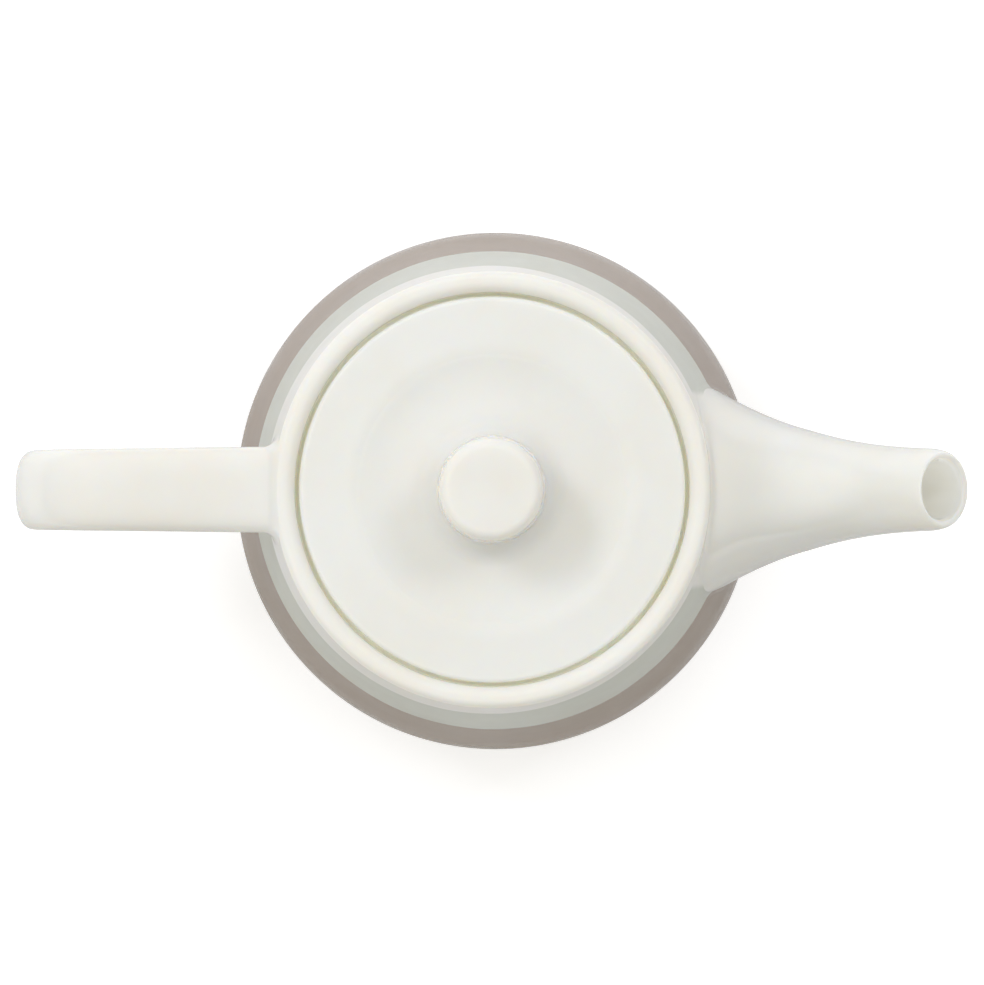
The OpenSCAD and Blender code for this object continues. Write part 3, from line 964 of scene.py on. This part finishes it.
def band_glaze():
    """White at the rim, then the light and the dark band, with soft edges that wander a little."""
    shader = Shader("band_glaze")
    white = shader.mix(shader.patches(CLOUD), *WHITES)
    streak = shader.patches(STREAK, reach=0.2)
    light = shader.mix(streak, *LIGHTS)
    dark = shader.mix(streak, *DARKS)
    split = shader.add("ShaderNodeSeparateXYZ", {0: shader.place}).outputs
    aside = BAND_WANDER * MM
    wander = shader.spread(shader.noise(*WANDER), 0.2, 0.8, -aside, aside, "LINEAR")
    level = shader.maths("ADD", split["Z"], wander)
    above_dark = shader.over(level, RIM_Z - DARK_DROP, BAND_SOFT)
    tilted = shader.vector_value("DOT_PRODUCT", shader.place, (-LIGHT_TILT, 0, 1))
    above_light = shader.over(shader.maths("ADD", tilted, wander), RIM_Z - LIGHT_DROP, BAND_SOFT)
    in_front = shader.over(split["X"], *ROOT_WHITE_X)
    high = shader.over(split["Z"], *ROOT_WHITE_Z)
    beside = shader.over(shader.maths("ABSOLUTE", split["Y"]), *ROOT_WHITE_Y)
    between = shader.maths("SUBTRACT", 1, beside)
    on_root = shader.maths("MULTIPLY", shader.maths("MULTIPLY", in_front, high), between)
    is_white = shader.maths("MAXIMUM", above_light, on_root)
    return glaze_finish(shader, shader.mix(is_white, shader.mix(above_dark, dark, light), white))


def bare_clay():
    """The foot ring's unglazed face: matt, fine-grained and a little worn."""
    shader = Shader("bare_clay")
    worn = shader.patches(WEAR)
    return shader.finish(
        {
            "Base Color": shader.mix(worn, *CLAYS),
            "Roughness": shader.spread(worn, 0, 1, *BARE_ROUGHNESS),
            "Normal": shader.bumps((GRAIN, GRAIN_BUMP)),
        }
    )


# Stage, light and camera


def floor():
    """A plain pale floor that keeps the shadow, and glows a little for the camera and in reflections."""
    half = FLOOR_HALF
    mesh = bpy.data.meshes.new("floor")
    corners = [(-half, -half, 0), (half, -half, 0), (half, half, 0), (-half, half, 0)]
    mesh.from_pydata(corners, [], [(0, 1, 2, 3)])
    made = placed("floor", mesh)
    shader = Shader("floor_white")
    plain = {"Base Color": FLOOR_WHITE, "Roughness": FLOOR_ROUGHNESS, "Specular IOR Level": 0.0}
    mesh.materials.append(shader.finish(plain))
    path = shader.add("ShaderNodeLightPath").outputs
    away = shader.vector_value("DISTANCE", shader.place, SHADE_AT)
    clear = shader.spread(away, SHADE_R, SHADE_FADE * SHADE_R, 0, 1)
    mirrored = shader.maths("MAXIMUM", path["Is Glossy Ray"], path["Is Transmission Ray"])
    seen = shader.maths("MAXIMUM", path["Is Camera Ray"], shader.maths("MULTIPLY", mirrored, clear))
    glow = shader.add("ShaderNodeEmission", {"Strength": shader.maths("MULTIPLY", seen, FLOOR_GLOW)})
    total = shader.add("ShaderNodeAddShader", {0: shader.principled.outputs[0], 1: glow.outputs[0]})
    shader.link(shader.tree.nodes["Material Output"].inputs["Surface"], total.outputs[0])


def sky():
    """An even white surround, brighter in one direction and plain white where the camera sees it."""
    world = bpy.data.worlds.new("sky")
    nodes = Nodes(world)
    way = nodes.add("ShaderNodeTexCoord").outputs["Generated"]
    lean = nodes.vector_value("DOT_PRODUCT", way, SKY_TOWARDS)
    level = nodes.maths("MAXIMUM", nodes.maths("MULTIPLY_ADD", lean, SKY_LEAN, SKY_EVEN), 0)
    seen = nodes.add("ShaderNodeLightPath").outputs["Is Camera Ray"]
    background = nodes.tree.nodes["Background"].inputs
    nodes.link(background["Color"], nodes.mix(seen, SKY_TINT, PLAIN_WHITE))
    nodes.link(background["Strength"], nodes.add("ShaderNodeMix", {0: seen, 2: level, 3: 1.0}).outputs[0])
    bpy.context.scene.world = world


def softbox(name, place, size, power):
    """A square soft light that faces the pot. No highlight of it shows in the glaze, only the sky does."""
    lamp = bpy.data.lights.new(name, "AREA")
    lamp.shape = "SQUARE"
    lamp.size = size
    lamp.energy = power
    lamp.color = LAMP_TINT
    made = placed(name, lamp)
    made.location = place
    made.rotation_euler = (LAMP_AIM - Vector(place)).to_track_quat("-Z", "Y").to_euler()
    made.visible_camera = False
    made.visible_glossy = False


def camera():
    """Straight above the pot, a little off its axis, with the spout to the right."""
    data = bpy.data.cameras.new("camera")
    data.lens = LENS
    data.sensor_width = SENSOR_W
    made = placed("camera", data)
    made.location = CAMERA_AT
    back = (CAMERA_AT - CAMERA_AIM).normalized()
    right = Vector((0, 1, 0)).cross(back).normalized()
    up = back.cross(right)
    made.rotation_mode = "QUATERNION"
    made.rotation_quaternion = Matrix((right, up, back)).transposed().to_quaternion()
    bpy.context.scene.camera = made


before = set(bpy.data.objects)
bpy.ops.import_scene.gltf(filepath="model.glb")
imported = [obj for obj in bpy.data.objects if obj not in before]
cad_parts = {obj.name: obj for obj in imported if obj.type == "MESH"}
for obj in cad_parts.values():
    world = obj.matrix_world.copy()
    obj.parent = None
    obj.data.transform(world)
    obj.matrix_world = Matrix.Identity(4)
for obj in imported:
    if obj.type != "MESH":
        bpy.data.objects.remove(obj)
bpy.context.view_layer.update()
camera()
floor()
sky()
for lamp in LAMPS:
    softbox(*lamp)

# The spout's bore and the lid's gap get the glaze in brighter, warmer whites: painted bounce light
thin_glaze = white_glaze("thin_glaze", BORE_DEPTH, BORE_PAINTED_LIGHT)
gap_glaze = white_glaze("gap_glaze", GAP_DEPTH, GAP_PAINTED_LIGHT)
glazes = [white_glaze(), band_glaze(), bare_clay(), thin_glaze, gap_glaze]
pot_piece = pot(glazes)
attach(pot_piece, "root")
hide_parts("pot")
lid_piece = lid([glazes[GLAZE], glazes[LIT_GAP]])
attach(lid_piece, "root")
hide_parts("lid")

bpy.context.scene.view_settings.view_transform = "Standard"
